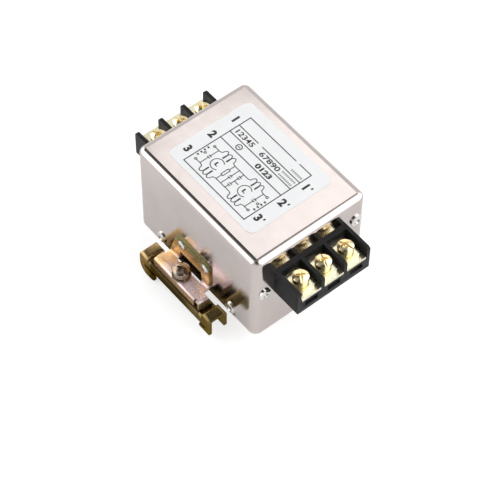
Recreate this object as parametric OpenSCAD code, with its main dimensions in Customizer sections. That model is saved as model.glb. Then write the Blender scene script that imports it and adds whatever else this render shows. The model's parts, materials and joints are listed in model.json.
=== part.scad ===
// EMI line filter: a drawn metal can with a three-pole barrier terminal block at each end,
// held on a 35 mm rail by two screw clips. Millimetres, +Z up, current flows along X.

/* [Case] */
// Length of the can along X
case_l = 72; // [70:1:84]
// Width of the can along Y
case_w = 54; // [54:1:64]
// Height of the can
case_h = 46; // [44:1:60]
// Thickness of the drawn sheet
sheet_t = 0.8; // [0.6:0.1:1.0]
// Outside radius of the can's upright corners
case_corner_r = 4.5; // [3.5:0.1:6]
// Outside radius of the drawn edge round the top
case_edge_r = 2.8; // [2:0.1:3.2]
// Thickness of the base plate
base_t = 1.2; // [1:0.1:1.5]
// Height of the base plate's upturned flanges
base_flange_h = 8; // [7:0.5:9]

/* [Rating label] */
// Length of the label along X
label_l = 50.3; // [40:0.1:56]
// Width of the label along Y
label_w = 40.5; // [30:0.1:44]
// Thickness of the label
label_t = 0.15; // [0.1:0.05:0.3]

/* [Terminal blocks] */
// Distance between two poles
pole_pitch = 11; // [10.5:0.1:11.5]
// How far the block stands out of the can
block_out = 13.5; // [12.5:0.5:15]
// Underside of the block above the can's lower rim
block_z = 22.2; // [21:0.1:23]
// Height of the block
block_h = 12.3; // [11.8:0.1:12.6]
// Height of the moulding under a terminal strip
bay_floor_h = 6.5; // [6.3:0.1:6.8]
// Thickness of a barrier between two poles
barrier_t = 1.6; // [1.3:0.1:1.8]
// Thickness of a brass terminal strip
strip_t = 1.3; // [1:0.1:1.4]

/* [Rail clips] */
// Rail's top face above the lowest edge of the hooks
rail_z = 5.9; // [5.5:0.1:7]
// Can's lower rim above the rail's top face
case_above_rail = 5; // [4.8:0.1:6]
// Thickness of the bracket's sheet
bracket_t = 1; // [0.8:0.1:1.2]
// Thickness of the hook's and the jaw's sheet
channel_t = 1.2; // [1:0.1:1.2]
// Height of the slots that take the rail's edges
rail_slot_h = 1.4; // [1.2:0.1:1.6]
// Distance that a jaw slides open
jaw_travel = 4; // [3:0.5:4]

/* [Hidden] */
$fn = 48;

// Overshoot of a cutter past the face that it cuts
over = 1;
// Clearance between pieces that slide or are pushed together
gap = 0.1;

// Levels and faces
case_z = rail_z + case_above_rail;
half_l = case_l / 2;
half_w = case_w / 2;

// Screw sizes: radius of the shank, of its clearance hole, and of the head
m3_r = 1.45;
m3_hole_r = 1.6;
m3_head_r = 2.6;
m4_r = 1.95;
m4_hole_r = 2.15;
m4_head_r = 3.25;
m4_head_h = 3;

// Height of a head's side as a share of the head: low M3 heads and tall M4 heads
low_side = 0.5;
tall_side = 0.67;

// Base plate and its screws
base_screw_x = 21.5;
base_screw_z = 3.5;
base_screw_head_h = 1.1;
base_screw_l = 5;
base_flange_l = 56;
base_bend_r = 0.8;
base_l = case_l - 2 * sheet_t - 2 * gap;
base_w = case_w - 2 * sheet_t - 2 * gap;
base_corner_r = case_corner_r - sheet_t - gap;

// Label
label_x = -1.45;
label_y = 0.95;
label_corner_r = 3;

// Terminal block, in its own frame: X out of the can, Z up from the can's lower rim
block_side_extra = 0.35;
block_w = 3 * pole_pitch + barrier_t + 2 * block_side_extra;
block_top = block_z + block_h;
bay_floor_z = block_z + bay_floor_h;
bay_w = pole_pitch - barrier_t;
block_rear_t = 1.2;
barrier_chamfer = [0.9, 0.7];
block_flange_t = 2;
block_flange_rim = 1.6;
ear_r = 3.2;
ear_low = [-22.5, 25.2];
ear_high = [22, 33.8];
screw_head_h = 1.3;
block_screw_l = 6;
nut_slot = [9, 6.1, 2.8];
nut_slot_z = block_z + 2.4;
strip_w = bay_w - gap;
strip_top = bay_floor_z + strip_t;
tail_w = 4.4;
tail_l = 6;
lead_hole_r = 1;
lead_hole_inset = 1.8;
terminal_x = 6.85;
clamp_plate = [8.8, 6.6, 1];
clamp_plate_x = 2.9;
spring_washer_t = 1.2;
washer_z = strip_top + clamp_plate[2];
head_z = washer_z + spring_washer_t;
terminal_washer_r = 2.9;
terminal_shank_l = 7.5;
terminal_turns = [-33, -16, 20];
terminal_bore_r = 2.3;
terminal_bore_depth = 5.2;
tail_end_x = -(sheet_t + block_flange_t + tail_l);
lead_hole_x = tail_end_x + lead_hole_inset;

// Rail clip, in its own frame: Y = 0 on the can's side, Z = 0 on the rail's top face
plate_top = 8.2;
plate_z = plate_top - bracket_t;
plate_x = [-16.3, 12.5];
bracket_depth = 8.8;
rear_bend_r = 1;
fold_r = 0.2;
fold_out = fold_r + bracket_t;
rear_flange_top = 21.2;
rear_flange_x = [-14.7, 9.3];
rear_flange_top_x = -11;
rear_flange_slant_z = 9.6;
front_flange_x = [-15.6, 9.5];
left_tab_y = [-6.8, -3.7];
right_tab_y = [-8.6, -3.7];
tab_notch = 1.1;
window_y = -2;
window_top = 13.7;
window_low_x = [-9.9, 5];
window_top_x = [-8.4, 4.4];
rivet_x = [-7.4, 6.9];
rivet_z = 19;
rivet_r = 1.5;
rivet_head_r = 2;
rivet_head_h = 0.8;
rivet_side_h = 0.25;
rivet_tail_r = 2.2;
rivet_tail_l = 2.4;
rivet_hole_r = 0.7;
rivet_hole_depth = 1.1;
clamp_x = -2.3;
clamp_y = -5.3;
clamp_head_r = 3.35;
clamp_length = 12.2;
clamp_turn = 25;
clamp_washer_r = 3.4;
flat_washer_t = 1;
flat_washer_r = 3.9;

// Hook channel and jaw, in the clip's frame
channel_y = [-10, -1.4];
channel_bend_r = 1.8;
web_top = 3.8;
hook_top = 5.4;
hook_x = [-23.3, 12.9];
hook_corner_r = 1.2;
hook_riser_x = -18.2;
riser_round = hook_top - web_top;
riser_fillet_r = 0.8;
claw_centre = [-17.9, -0.8];
claw_r = 5.4;
claw_tip_x = -14.3;
hook_slot_x = -20.9;
jaw_top = 6.4;
jaw_x = [13.1, 20.9];
jaw_riser_x = 15.7;
jaw_round = 1.2;
jaw_slot_x = 17.9;
jaw_tip_x = 14.3;
jaw_bottom = -3;
jaw_corner_r = 0.8;
web_under = web_top - channel_t;
tongue_top = web_under - gap;
tongue_z = tongue_top - channel_t;
tongue_x = -10;
tongue_edge_r = channel_bend_r - channel_t - gap;
tongue_slot_r = 2.15;
nut_plate = [10, 5.8, 1.7];
nut_plate_y = (channel_y[0] + channel_y[1]) / 2;
nut_plate_z = tongue_z - gap - nut_plate[2];

// Inner parts, heights above the can's lower rim
board = [62, 46, 1.6];
board_z = 7;
board_top = board_z + board[2];
board_corner_r = 2;
pillar_x = 28;
pillar_y = 20;
pillar_r = 2.6;
insulator_t = 0.4;
core_r = 11;
core_bore_r = 6;
core_h = 12;
choke_x = 13.2;
choke_y = 8;
wire_r = 0.6;
loop_half_t = 0.9 * wire_r;
sleeve_t = 0.4;
turns = 9;
turn_angle = 13;
choke_z = board_top + 2.2;
x_cap = [24, 8.5, 15];
x_cap_y = -11;
y_cap_r = 4.2;
y_cap_t = 3.4;
y_cap_y = -19;
y_cap_x = [-19, -9, 9, 19];
y_cap_pin_x = 2.5;
pin_r = 0.4;
resistor_r = 1.9;
resistor_l = 9;
resistor_y = 18.5;
resistor_pin_x = resistor_l / 2 + 1.5;
board_screw_l = 6;
lead_r = 0.9;
lead_clearance = 0.3;
earth_drop_x = -(half_l + tail_end_x) + lead_r + lead_clearance;

// Placing

module at_case() {
    translate([0, 0, case_z]) children();
}

module at_load_end() {
    translate([half_l, 0, case_z]) children();
}

module at_line_end() {
    rotate([0, 0, 180]) at_load_end() children();
}

module at_front_clip() {
    translate([0, -half_w, rail_z]) children();
}

module at_back_clip() {
    mirror([0, 1, 0]) at_front_clip() children();
}

// A flat outline in Y and Z, drawn out along X from x0 to x1
module along_x(x0, x1) {
    translate([x0, 0, 0]) rotate([90, 0, 90]) linear_extrude(x1 - x0) children();
}

// A flat outline in X and Z, drawn out along Y from y0 to y1
module along_y(y0, y1) {
    translate([0, y1, 0]) rotate([90, 0, 0]) linear_extrude(y1 - y0) children();
}

// Box between two opposite corners
module span(low, high) {
    translate(low) cube(high - low);
}

// Flat shapes

module rounded_rect(l, w, r) {
    square([l - 2 * r, w], center = true);
    square([l, w - 2 * r], center = true);
    for (sx = [-1, 1], sy = [-1, 1])
        translate([sx * (l / 2 - r), sy * (w / 2 - r)]) circle(r);
}

// Quarter of a ring about the origin, in the quadrant that starts at the angle given
module quarter_ring(r_in, r_out, start) {
    intersection() {
        difference() {
            circle(r_out);
            circle(r_in);
        }
        rotate(start) square(r_out + over);
    }
}

// What a rounded corner leaves of a square, with the corner at the origin
module corner_spandrel(r) {
    difference() {
        square(r);
        translate([r, r]) circle(r);
    }
}

// Fasteners

// Half outline of a low domed head, standing on the X axis
module dome_profile(r, h, side_h) {
    rise = h - side_h;
    dome_r = (r * r + rise * rise) / (2 * rise);
    intersection() {
        square([r, h]);
        translate([0, h - dome_r]) circle(dome_r, $fn = 96);
    }
}

// Cross recess, its mouth at z = 0 and its tip pointing down
module cross_recess(mouth_r, depth, blade) {
    tip_share = 0.4;
    slope = mouth_r * (1 - tip_share) / depth;
    intersection() {
        translate([0, 0, -depth])
            cylinder(h = depth + over, r1 = mouth_r * tip_share, r2 = mouth_r + slope * over);
        union() {
            cube([3 * mouth_r, blade, 3 * depth], center = true);
            cube([blade, 3 * mouth_r, 3 * depth], center = true);
        }
    }
}

// Pan-head screw: head stands on z = 0, shank goes down, point is chamfered
module pan_screw(r, length, head_r, head_h, side_share) {
    tip = 0.5;
    mouth_share = 0.62;
    depth_share = 0.6;
    blade_share = 0.32;
    difference() {
        union() {
            rotate_extrude() dome_profile(head_r, head_h, head_h * side_share);
            translate([0, 0, -length + tip]) cylinder(h = length - tip, r = r);
            translate([0, 0, -length]) cylinder(h = tip, r1 = r - tip, r2 = r);
        }
        translate([0, 0, head_h])
            cross_recess(head_r * mouth_share, head_h * depth_share, head_r * blade_share);
    }
}

// Slot across a tall head, from rim to rim
module head_slot(head_r, head_h) {
    slot_w = 0.9;
    floor_share = 0.6;
    translate([-head_r - over, -slot_w / 2, head_h * floor_share])
        cube([2 * (head_r + over), slot_w, head_h]);
}

// Split spring washer standing on z = 0
module split_washer(r_in, r_out, t) {
    slit = 0.7;
    slit_turn = 35;
    difference() {
        cylinder(h = t, r = r_out);
        translate([0, 0, -over]) cylinder(h = t + 2 * over, r = r_in);
        rotate([0, 0, slit_turn]) translate([0, -slit / 2, -over])
            cube([r_out + over, slit, t + 2 * over]);
    }
}

// Case

// Box with upright corners of one radius and a top edge of another, standing on z = 0
module drawn_box(l, w, h, corner_r, edge_r) {
    flat_l = l - 2 * corner_r;
    flat_w = w - 2 * corner_r;
    translate([-flat_l / 2, -flat_w / 2, 0]) cube([flat_l, flat_w, h]);
    for (side = [0, 180]) rotate([0, 0, side]) {
        along_y(-flat_w / 2, flat_w / 2)
            translate([flat_l / 2, 0]) wall_profile(h, corner_r, edge_r);
        rotate([0, 0, 90]) along_y(-flat_l / 2, flat_l / 2)
            translate([flat_w / 2, 0]) wall_profile(h, corner_r, edge_r);
        translate([flat_l / 2, flat_w / 2, 0])
            rotate_extrude(angle = 90) wall_profile(h, corner_r, edge_r);
        translate([-flat_l / 2, flat_w / 2, 0]) rotate([0, 0, 90])
            rotate_extrude(angle = 90) wall_profile(h, corner_r, edge_r);
    }
}

// Section of the box's rim, from its flat top out to its side
module wall_profile(h, corner_r, edge_r) {
    square([corner_r, h - edge_r]);
    square([corner_r - edge_r, h]);
    intersection() {
        translate([corner_r - edge_r, h - edge_r]) circle(edge_r);
        square([corner_r, h]);
    }
}

module block_cutout() {
    margin = 0.15;
    span([-sheet_t - over, -block_w / 2 - margin, block_z - margin],
         [over, block_w / 2 + margin, block_top + margin]);
    for (ear = [ear_low, ear_high])
        translate([-sheet_t - over, ear[0], ear[1]]) rotate([0, 90, 0])
            cylinder(h = sheet_t + 2 * over, r = m3_hole_r);
}

module base_screw_places() {
    for (side = [0, 180], x = [-base_screw_x, base_screw_x])
        rotate([0, 0, side]) translate([x, -half_w, case_z + base_screw_z]) rotate([90, 0, 0]) children();
}

module case_can() {
    color("#c9c4c0") difference() {
        at_case() difference() {
            drawn_box(case_l, case_w, case_h, case_corner_r, case_edge_r);
            translate([0, 0, -over])
                drawn_box(case_l - 2 * sheet_t, case_w - 2 * sheet_t, case_h - sheet_t + over,
                          case_corner_r - sheet_t, case_edge_r - sheet_t);
        }
        at_load_end() block_cutout();
        at_line_end() block_cutout();
        base_screw_places() translate([0, 0, -sheet_t - over])
            cylinder(h = sheet_t + 2 * over, r = m3_hole_r);
        at_front_clip() rivet_places() translate([0, 0, -sheet_t - over])
            cylinder(h = sheet_t + 2 * over, r = rivet_r + gap);
        at_back_clip() rivet_places() translate([0, 0, -sheet_t - over])
            cylinder(h = sheet_t + 2 * over, r = rivet_r + gap);
    }
}

// Base plate: flat sheet with a tapped flange turned up along each long side
module base_plate() {
    bend_out = base_bend_r + base_t;
    flat_w = base_w - 2 * bend_out;
    color("#b9b6b2") difference() {
        at_case() {
            linear_extrude(base_t) difference() {
                rounded_rect(base_l, base_w, base_corner_r);
                for (side = [-1, 1]) translate([0, side * base_w / 2])
                    square([base_flange_l, 2 * bend_out], center = true);
            }
            for (side = [0, 180]) rotate([0, 0, side])
                along_x(-base_flange_l / 2, base_flange_l / 2) {
                    translate([flat_w / 2, bend_out]) quarter_ring(base_bend_r, bend_out, -90);
                    translate([base_w / 2 - base_t, bend_out])
                        square([base_t, base_flange_h - bend_out]);
                }
        }
        base_screw_places() translate([0, 0, -sheet_t - base_t - over])
            cylinder(h = base_t + 2 * over, r = m3_r + gap / 2);
        at_case() pillar_places() translate([0, 0, -over])
            cylinder(h = base_t + 2 * over, r = m3_hole_r);
    }
}

module base_screws() {
    color("#d6d6d8") base_screw_places()
        pan_screw(m3_r, base_screw_l, m3_head_r, base_screw_head_h, low_side);
}

module rating_label() {
    color("#eeeff1") at_case() translate([label_x, label_y, case_h])
        linear_extrude(label_t) rounded_rect(label_l, label_w, label_corner_r);
}

// Terminal block parts, in the block's own frame

module at_poles() {
    for (pole = [-1, 0, 1]) translate([0, pole * pole_pitch, 0]) children();
}

// Side outline of the block, with the corner taken off above the wire entry
module barrier_outline() {
    polygon([
        [-sheet_t, block_z],
        [block_out, block_z],
        [block_out, block_top - barrier_chamfer[1]],
        [block_out - barrier_chamfer[0], block_top],
        [-sheet_t, block_top]
    ]);
}

// Inner flange with an ear for each fixing screw, bearing on the can's inner face
module block_flange() {
    flange_w = block_w + 2 * block_flange_rim;
    flange_h = block_h + 2 * block_flange_rim;
    mid_z = block_z + block_h / 2;
    intersection() {
        along_x(-sheet_t - block_flange_t, -sheet_t) {
            translate([0, mid_z]) square([flange_w, flange_h], center = true);
            for (ear = [ear_low, ear_high]) {
                translate(ear) circle(ear_r);
                translate([sign(ear[0]) * (abs(ear[0]) + block_w / 2) / 2, ear[1]])
                    square([abs(ear[0]) - block_w / 2, 2 * ear_r], center = true);
            }
        }
        translate([-half_l, 0, 0]) linear_extrude(case_h)
            rounded_rect(case_l - 2 * sheet_t, case_w - 2 * sheet_t - 2 * gap, case_corner_r - sheet_t);
    }
}

module block_housing() {
    color("#2b2b2d") difference() {
        union() {
            for (middle = [-pole_pitch / 2, pole_pitch / 2])
                along_y(middle - barrier_t / 2, middle + barrier_t / 2) barrier_outline();
            for (edge = [-block_w / 2, block_w / 2 - barrier_t])
                along_y(edge, edge + barrier_t) barrier_outline();
            span([-sheet_t, -block_w / 2, block_z], [block_out, block_w / 2, bay_floor_z]);
            span([-sheet_t, -block_w / 2, block_z], [block_rear_t, block_w / 2, block_top]);
            block_flange();
        }
        at_poles() {
            translate([block_out - nut_slot[0], -nut_slot[1] / 2, nut_slot_z])
                cube(nut_slot + [over, 0, 0]);
            translate([terminal_x, 0, bay_floor_z - terminal_bore_depth])
                cylinder(h = terminal_bore_depth + over, r = terminal_bore_r);
            span([-sheet_t - block_flange_t - over, -(tail_w + gap) / 2, bay_floor_z],
                 [block_rear_t + gap, (tail_w + gap) / 2, strip_top]);
        }
        for (ear = [ear_low, ear_high])
            translate([-sheet_t - block_flange_t - over, ear[0], ear[1]]) rotate([0, 90, 0])
                cylinder(h = block_flange_t + 2 * over, r = m3_r + gap / 2);
    }
}

module block_screws() {
    color("#d6d6d8") for (ear = [ear_low, ear_high])
        translate([0, ear[0], ear[1]]) rotate([0, 90, 0])
            pan_screw(m3_r, block_screw_l, m3_head_r, screw_head_h, low_side);
}

// Brass strip in its bay, with a narrow tail that runs through the wall to a lead
module strip(pole) {
    color("#e6cf8f") translate([0, pole * pole_pitch, 0]) difference() {
        union() {
            span([block_rear_t, -strip_w / 2, bay_floor_z], [block_out, strip_w / 2, strip_top]);
            span([tail_end_x, -tail_w / 2, bay_floor_z], [block_rear_t, tail_w / 2, strip_top]);
        }
        translate([terminal_x, 0, bay_floor_z - over])
            cylinder(h = strip_t + 2 * over, r = m4_r + gap / 2);
        translate([lead_hole_x, 0, bay_floor_z - over])
            cylinder(h = strip_t + 2 * over, r = lead_hole_r);
    }
}

module clamp_plates() {
    corner = 0.8;
    color("#ecd9a0") at_poles() difference() {
        translate([clamp_plate_x + clamp_plate[0] / 2, 0, strip_top]) linear_extrude(clamp_plate[2])
            rounded_rect(clamp_plate[0], clamp_plate[1], corner);
        translate([terminal_x, 0, strip_top - over])
            cylinder(h = clamp_plate[2] + 2 * over, r = m4_hole_r);
    }
}

module terminal_washers() {
    color("#e0c684") at_poles() translate([terminal_x, 0, washer_z])
        split_washer(m4_hole_r, terminal_washer_r, spring_washer_t);
}

module terminal_screws() {
    color("#e8d296") for (pole = [-1, 0, 1])
        translate([terminal_x, pole * pole_pitch, head_z]) rotate([0, 0, terminal_turns[pole + 1]])
            difference() {
                pan_screw(m4_r, terminal_shank_l, m4_head_r, m4_head_h, tall_side);
                head_slot(m4_head_r, m4_head_h);
            }
}

// Rail clip parts, in the clip's own frame

module rivet_places() {
    for (x = rivet_x) translate([x, 0, rivet_z]) rotate([90, 0, 0]) children();
}

// Outline of the flange that is riveted to the can
module rear_flange_outline() {
    bottom = plate_z + rear_bend_r + bracket_t;
    corner = 1;
    intersection() {
        polygon([
            [rear_flange_x[0], bottom],
            [rear_flange_x[1], bottom],
            [rear_flange_x[1], rear_flange_top],
            [rear_flange_top_x, rear_flange_top],
            [rear_flange_x[0], rear_flange_slant_z]
        ]);
        difference() {
            square(2 * rear_flange_top, center = true);
            translate([rear_flange_x[1], rear_flange_top]) rotate(180) corner_spandrel(corner);
        }
    }
}

// Opening through the bracket's rear bend, narrower at its top
module bracket_window() {
    along_y(window_y, over) polygon([
        [window_low_x[0], plate_z - over],
        [window_low_x[1], plate_z - over],
        [window_top_x[1], window_top],
        [window_top_x[0], window_top]
    ]);
}

module bracket() {
    rear_out = rear_bend_r + bracket_t;
    color("#b39a62") difference() {
        union() {
            // Riveted flange and its bend
            along_y(-bracket_t, 0) rear_flange_outline();
            along_x(rear_flange_x[0], rear_flange_x[1]) translate([-rear_out, plate_z + rear_out])
                quarter_ring(rear_bend_r, rear_out, -90);
            // Plate under the screw head, in three strips from the can outwards
            span([rear_flange_x[0], right_tab_y[1], plate_z], [rear_flange_x[1], -rear_out, plate_top]);
            span([plate_x[0] + fold_out, left_tab_y[0], plate_z],
                 [plate_x[1] - fold_out, right_tab_y[1], plate_top]);
            span([front_flange_x[0], fold_out - bracket_depth, plate_z],
                 [plate_x[1] - fold_out, left_tab_y[0], plate_top]);
            // Front flange and its bend
            along_x(front_flange_x[0], front_flange_x[1])
                translate([fold_out - bracket_depth, plate_top - fold_out])
                    quarter_ring(fold_r, fold_out, 90);
            span([front_flange_x[0], -bracket_depth, web_top],
                 [front_flange_x[1], bracket_t - bracket_depth, plate_top - fold_out]);
            // Tab turned down at each end, the right one beyond a square notch
            span([front_flange_x[1] + tab_notch, right_tab_y[0], plate_z],
                 [plate_x[1] - fold_out, fold_out - bracket_depth, plate_top]);
            along_y(right_tab_y[0], right_tab_y[1])
                translate([plate_x[1] - fold_out, plate_top - fold_out])
                    quarter_ring(fold_r, fold_out, 0);
            along_y(left_tab_y[0], left_tab_y[1])
                translate([plate_x[0] + fold_out, plate_top - fold_out])
                    quarter_ring(fold_r, fold_out, 90);
            span([plate_x[1] - bracket_t, right_tab_y[0], web_top],
                 [plate_x[1], right_tab_y[1], plate_top - fold_out]);
            span([plate_x[0], left_tab_y[0], web_top],
                 [plate_x[0] + bracket_t, left_tab_y[1], plate_top - fold_out]);
        }
        bracket_window();
        rivet_places() translate([0, 0, -over])
            cylinder(h = bracket_t + 2 * over, r = rivet_r + gap);
        translate([clamp_x, clamp_y, plate_z - over])
            cylinder(h = bracket_t + 2 * over, r = m4_hole_r);
    }
}

// Pop rivet with a hollow domed head outside and a swollen tail inside the can
module rivets() {
    color("#dcdcde") rivet_places() difference() {
        union() {
            translate([0, 0, bracket_t])
                rotate_extrude() dome_profile(rivet_head_r, rivet_head_h, rivet_side_h);
            translate([0, 0, -sheet_t]) cylinder(h = bracket_t + sheet_t, r = rivet_r);
            translate([0, 0, -sheet_t - rivet_tail_l]) cylinder(h = rivet_tail_l, r = rivet_tail_r);
        }
        translate([0, 0, bracket_t + rivet_head_h - rivet_hole_depth])
            cylinder(h = rivet_hole_depth + over, r = rivet_hole_r);
    }
}

// Section of the inverted channel in Y and Z, solid down to well below the rail
module channel_section(top, inset, bend_r) {
    y0 = channel_y[0] + inset;
    y1 = channel_y[1] - inset;
    deep = 12;
    translate([y0, -deep]) square([y1 - y0, deep + top - bend_r]);
    translate([y0 + bend_r, top - bend_r]) square([y1 - y0 - 2 * bend_r, bend_r]);
    intersection() {
        translate([y0, 0]) square([y1 - y0, top]);
        for (y = [y0 + bend_r, y1 - bend_r]) translate([y, top - bend_r]) circle(bend_r);
    }
}

module channel_outer(x0, x1, top) {
    along_x(x0, x1) channel_section(top, 0, channel_bend_r);
}

module channel_inner(x0, x1, top) {
    along_x(x0, x1) channel_section(top - channel_t, channel_t, channel_bend_r - channel_t);
}

// What fills the corner between the hook's rounded riser and its web, seen along Y
module riser_fillet() {
    foot_x = hook_riser_x - riser_round
        + sqrt(pow(riser_round + riser_fillet_r, 2) - pow(riser_fillet_r, 2));
    difference() {
        polygon([
            [hook_riser_x - riser_round, web_top],
            [foot_x, web_top],
            [foot_x, web_top + riser_fillet_r]
        ]);
        translate([foot_x, web_top + riser_fillet_r]) circle(riser_fillet_r);
    }
}

// Side outline of the hook: rounded head, rail slot and rounded claw below it
module hook_outline() {
    slot_r = rail_slot_h / 2;
    difference() {
        union() {
            translate([hook_x[0], 0]) square([hook_x[1] - hook_x[0], web_top]);
            translate([hook_x[0], 0]) square([hook_riser_x - hook_x[0], hook_top]);
            riser_fillet();
            intersection() {
                union() {
                    translate(claw_centre) circle(claw_r, $fn = 96);
                    translate([hook_x[0], claw_centre[1]]) square([claw_r, -claw_centre[1]]);
                }
                translate([hook_x[0], -rail_z]) square([claw_tip_x - hook_x[0], rail_z]);
            }
        }
        translate([hook_slot_x + slot_r, -slot_r]) circle(slot_r);
        translate([hook_slot_x + slot_r, -rail_slot_h])
            square([claw_tip_x + over - hook_slot_x - slot_r, rail_slot_h]);
        translate([hook_riser_x, hook_top]) rotate(180) corner_spandrel(riser_round);
        translate([hook_x[0], hook_top]) rotate(-90) corner_spandrel(hook_corner_r);
    }
}

module hook() {
    color("#a8935a") difference() {
        intersection() {
            difference() {
                union() {
                    channel_outer(hook_x[0], hook_riser_x, hook_top);
                    channel_outer(hook_riser_x - channel_t, hook_x[1], web_top);
                    along_y(channel_y[0] + channel_bend_r, channel_y[1] - channel_bend_r)
                        riser_fillet();
                }
                channel_inner(hook_x[0] - over, hook_riser_x - channel_t, hook_top);
                channel_inner(hook_riser_x - channel_t - over, hook_x[1] + over, web_top);
            }
            along_y(channel_y[0] - over, channel_y[1] + over) hook_outline();
        }
        translate([clamp_x, clamp_y, web_under - over])
            cylinder(h = channel_t + 2 * over, r = m4_hole_r);
    }
}

// Side outline of the jaw's two walls
module jaw_outline() {
    difference() {
        union() {
            translate([jaw_x[0], 0]) square([jaw_x[1] - jaw_x[0], web_top]);
            translate([jaw_riser_x, 0]) square([jaw_x[1] - jaw_riser_x, jaw_top]);
            translate([jaw_slot_x, jaw_bottom]) square([jaw_x[1] - jaw_slot_x, -jaw_bottom]);
            translate([jaw_tip_x, jaw_bottom])
                square([jaw_x[1] - jaw_tip_x, -rail_slot_h - jaw_bottom]);
        }
        translate([jaw_riser_x, jaw_top]) rotate(-90) corner_spandrel(jaw_round);
        translate([jaw_x[1], jaw_bottom]) rotate(90) corner_spandrel(jaw_corner_r);
    }
}

// Sliding jaw: channel end with a tongue that steps down and runs inside the hook's channel
module jaw() {
    wall_y0 = channel_y[0] + channel_t;
    wall_y1 = channel_y[1] - channel_t;
    tongue_end_x = jaw_riser_x + channel_t;
    play = 0.2;
    slot_x0 = clamp_x - jaw_travel - play;
    slot_x1 = clamp_x + play;
    color("#a08a52") difference() {
        union() {
            intersection() {
                difference() {
                    union() {
                        channel_outer(jaw_riser_x, jaw_x[1], jaw_top);
                        channel_outer(jaw_x[0], jaw_riser_x, web_top);
                    }
                    channel_inner(jaw_riser_x + channel_t, jaw_x[1] + over, jaw_top);
                    span([jaw_x[0] - over, wall_y0, jaw_bottom - over], [jaw_riser_x, wall_y1, jaw_top]);
                    span([jaw_riser_x - over, wall_y0, jaw_bottom - over],
                         [jaw_riser_x + channel_t + over, wall_y1, tongue_z]);
                }
                along_y(channel_y[0] - over, channel_y[1] + over) jaw_outline();
            }
            intersection() {
                along_x(tongue_x, tongue_end_x)
                    channel_section(tongue_top, channel_t + 2 * gap, tongue_edge_r);
                span([tongue_x - over, channel_y[0], tongue_z], [jaw_x[1], channel_y[1], tongue_top + over]);
            }
        }
        translate([0, clamp_y, tongue_z - over]) {
            for (x = [slot_x0, slot_x1])
                translate([x, 0, 0]) cylinder(h = channel_t + 2 * over, r = tongue_slot_r);
            translate([slot_x0, -tongue_slot_r, 0])
                cube([slot_x1 - slot_x0, 2 * tongue_slot_r, channel_t + 2 * over]);
        }
    }
}

module clamp_screw() {
    color("#c9c6bd") translate([clamp_x, clamp_y, plate_top + flat_washer_t + spring_washer_t])
        rotate([0, 0, clamp_turn]) pan_screw(m4_r, clamp_length, clamp_head_r, m4_head_h, tall_side);
}

module clamp_spring_washer() {
    color("#b8b4a8") translate([clamp_x, clamp_y, plate_top + flat_washer_t])
        split_washer(m4_hole_r, clamp_washer_r, spring_washer_t);
}

module clamp_flat_washer() {
    color("#a9a58f") translate([clamp_x, clamp_y, plate_top]) difference() {
        cylinder(h = flat_washer_t, r = flat_washer_r);
        translate([0, 0, -over]) cylinder(h = flat_washer_t + 2 * over, r = m4_hole_r);
    }
}

module clamp_nut_plate() {
    color("#9c8b5c") translate([clamp_x, 0, nut_plate_z]) difference() {
        translate([-nut_plate[0] / 2, nut_plate_y - nut_plate[1] / 2, 0]) cube(nut_plate);
        translate([0, clamp_y, -over]) cylinder(h = nut_plate[2] + 2 * over, r = m4_r + gap / 2);
    }
}

// Parts inside the can, heights above the can's lower rim

module pillar_places() {
    for (x = [-pillar_x, pillar_x], y = [-pillar_y, pillar_y]) translate([x, y, 0]) children();
}

module insulating_sheet() {
    sheet = [60, 45];
    color("#d8cfae") at_case() translate([0, 0, base_t]) difference() {
        linear_extrude(insulator_t) rounded_rect(sheet[0], sheet[1], board_corner_r);
        pillar_places() translate([0, 0, -over])
            cylinder(h = insulator_t + 2 * over, r = pillar_r + gap);
    }
}

module circuit_board() {
    pin_hole_r = 0.6;
    color("#5d7a3c") at_case() translate([0, 0, board_z]) difference() {
        linear_extrude(board[2]) rounded_rect(board[0], board[1], board_corner_r);
        translate([0, 0, -over]) {
            pillar_places() cylinder(h = board[2] + 2 * over, r = m3_hole_r);
            for (x = y_cap_x) y_cap_pins(x) cylinder(h = board[2] + 2 * over, r = pin_hole_r);
            resistor_pins() cylinder(h = board[2] + 2 * over, r = pin_hole_r);
        }
    }
}

// Round pillars pressed into the base plate, tapped for the board's screws
module board_pillars() {
    color("#c8c8ca") at_case() pillar_places() difference() {
        union() {
            translate([0, 0, base_t]) cylinder(h = board_z - base_t, r = pillar_r);
            cylinder(h = base_t, r = m3_hole_r);
        }
        translate([0, 0, over]) cylinder(h = board_z, r = m3_r + gap / 2);
    }
}

module board_screws() {
    color("#d6d6d8") at_case() pillar_places() translate([0, 0, board_top])
        pan_screw(m3_r, board_screw_l, m3_head_r, screw_head_h, low_side);
}

// Ring core of a choke, lying flat, with its edges rounded
module choke_core(side) {
    round_r = 0.8;
    color("#3a3a3e") at_case() translate([side * choke_x, choke_y, choke_z]) rotate_extrude()
        translate([(core_r + core_bore_r) / 2, core_h / 2])
            rounded_rect(core_r - core_bore_r, core_h, round_r);
}

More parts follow.
